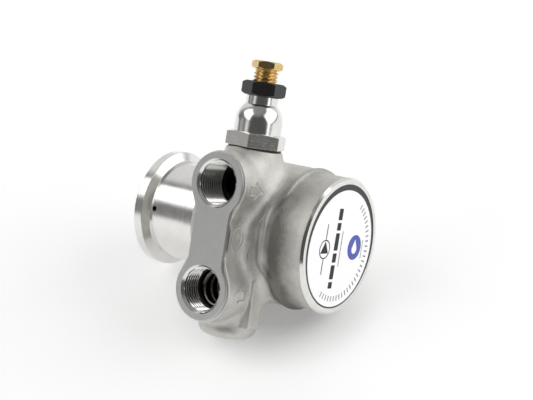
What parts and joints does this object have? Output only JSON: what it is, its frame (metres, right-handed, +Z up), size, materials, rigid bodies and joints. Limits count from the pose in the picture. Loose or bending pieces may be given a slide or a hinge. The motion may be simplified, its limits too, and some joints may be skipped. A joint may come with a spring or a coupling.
{
  "type": "rotary vane pump",
  "caption": "Clamp-on rotary vane pump head in cast stainless steel, with threaded side ports, an adjustable bypass valve on top and a sealed drive shaft behind a V-band flange.",
  "frame": {"origin": "centre of the V-band flange's mating face, on the shaft axis", "axes": "+Y along the shaft towards the motor, -X out of the ports, +Z up along the bypass valve"},
  "size_m": [0.0653, 0.08, 0.101],
  "materials": {
    "cast_stainless": "fine-grained satin casting, machined on the ports, tube and flange",
    "turned_steel": "turned",
    "bearing_steel": "ground and polished",
    "spring_steel": "drawn wire",
    "blackened_steel": "satin black oxide",
    "black_backing": "fine satin",
    "label": "glossy printed film",
    "carbon_graphite": "ground carbon graphite",
    "rubber": "moulded",
    "white_ceramic": "lapped",
    "brass": "turned"
  },
  "bodies": {
    "pump_body": {"housing": "cast_stainless", "end_cap": "turned_steel", "cap_o_ring": "rubber", "retaining_ring": "blackened_steel", "cover_disc": "black_backing", "nameplate": "label", "liner": "carbon_graphite", "liner_pin": "turned_steel", "front_bearing": "carbon_graphite", "rear_bearing": "carbon_graphite", "seal_cup": "rubber", "seal_seat": "white_ceramic", "bearing_outer_race": "bearing_steel", "bearing_shields": "rubber", "bearing_circlip": "spring_steel", "valve_body": "turned_steel", "valve_gasket": "rubber", "bypass_spring": "spring_steel", "check_spring": "spring_steel"},
    "drive_shaft": {"shaft": "turned_steel", "rotor": "turned_steel", "vane_1": "carbon_graphite", "vane_2": "carbon_graphite", "vane_3": "carbon_graphite", "vane_4": "carbon_graphite", "seal_ring": "carbon_graphite", "seal_bellows": "rubber", "seal_spring": "spring_steel", "seal_collar": "turned_steel", "bearing_inner_race": "bearing_steel"},
    "ball_cage": {"bearing_cage": "brass", "bearing_balls": "bearing_steel"},
    "lock_nut": {"locknut": "blackened_steel"},
    "valve_cup": {"spring_cup": "brass"},
    "valve_screw": {"adjusting_screw": "brass", "screw_o_ring": "rubber"},
    "piston": {"bypass_piston": "brass"},
    "poppet": {"check_poppet": "black_backing", "check_o_ring": "rubber"}
  },
  "joints": [
    {"name": "shaft_spin", "type": "hinge", "parent": "pump_body", "child": "drive_shaft", "pos_m": [0, 0, 0], "axis": [0, 1, 0], "continuous": true},
    {"name": "cage_spin", "type": "hinge", "parent": "pump_body", "child": "ball_cage", "pos_m": [0, -0.016, 0], "axis": [0, 1, 0], "continuous": true},
    {"name": "locknut_turn", "type": "hinge", "parent": "pump_body", "child": "lock_nut", "pos_m": [-0.0187, -0.0486, 0.052], "axis": [0, 0, 1], "range_deg": [0, 180]},
    {"name": "screw_travel", "type": "slide", "parent": "pump_body", "child": "valve_cup", "axis": [0, 0, 1], "range_m": [-0.0025, 0.0025], "deforming": ["bypass_spring"]},
    {"name": "screw_turn", "type": "hinge", "parent": "valve_cup", "child": "valve_screw", "pos_m": [-0.0187, -0.0486, 0.052], "axis": [0, 0, 1], "range_deg": [-722, 722]},
    {"name": "bypass_lift", "type": "slide", "parent": "pump_body", "child": "piston", "axis": [0, 0, 1], "range_m": [0, 0.003], "stiffness_N_per_m": 2000, "springref_m": -0.004, "deforming": ["bypass_spring"]},
    {"name": "check_lift", "type": "slide", "parent": "pump_body", "child": "poppet", "axis": [-1, 0, 0], "range_m": [0, 0.003], "stiffness_N_per_m": 200, "springref_m": -0.003, "deforming": ["check_spring"]}
  ],
  "couplings": [
    {"joint": "cage_spin", "follows": "shaft_spin", "ratio": 0.36772},
    {"joint": "screw_turn", "follows": "screw_travel", "rad_per_m": 5026.6}
  ]
}
